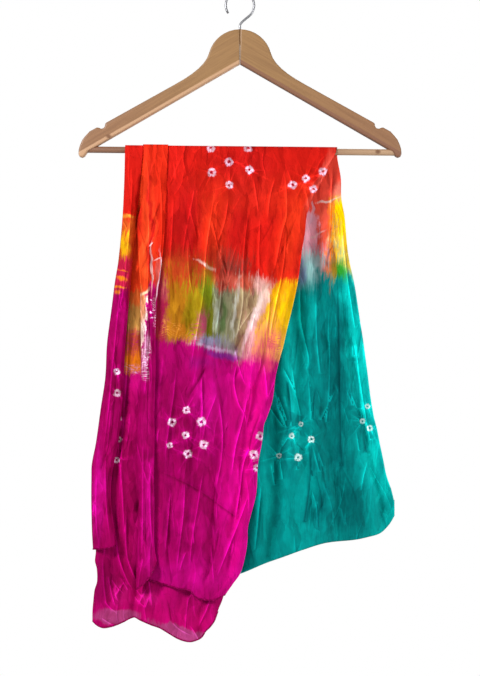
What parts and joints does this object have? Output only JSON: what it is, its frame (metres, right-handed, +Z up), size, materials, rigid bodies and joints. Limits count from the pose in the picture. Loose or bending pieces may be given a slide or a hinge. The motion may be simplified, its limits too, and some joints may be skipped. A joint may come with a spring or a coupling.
{
  "type": "dupatta stole on a wooden hanger",
  "caption": "Tie-dyed dupatta folded in half and pleated lengthwise, hung over the trouser bar of a flat wooden hanger with a wire hook.",
  "frame": {"origin": "inner top of the hook, where the hanger hangs on its rail", "axes": "+X to the right seen from the front, -Y to the front, +Z up"},
  "size_m": [0.4456, 0.0542, 0.9003],
  "materials": {
    "cloth_front": "silky tie-dyed cloth, red at the bar to pink at the ends, with yellow, green and grey between",
    "cloth_back": "silky tie-dyed cloth, red at the bar, then yellow and grey-green to teal at the fold",
    "rolled_hem": "the same cloth rolled and stitched, darker",
    "hanger_wood": "light brown wood, thin satin varnish",
    "hook_steel": "plain bright wire"
  },
  "bodies": {
    "root": {"front_fall": "cloth_front", "under_fall": "cloth_front", "left_pleat": "cloth_front", "centre_pleat": "cloth_front", "front_hem": "rolled_hem", "under_hem": "rolled_hem", "left_hem": "rolled_hem", "centre_hem": "rolled_hem", "back_fall": "cloth_back", "under_back": "cloth_back", "left_pleat_back": "cloth_back", "centre_pleat_back": "cloth_back", "hanger_arm_left": "hanger_wood", "hanger_arm_right": "hanger_wood", "trouser_bar": "hanger_wood", "hook": "hook_steel"}
  },
  "joints": []
}
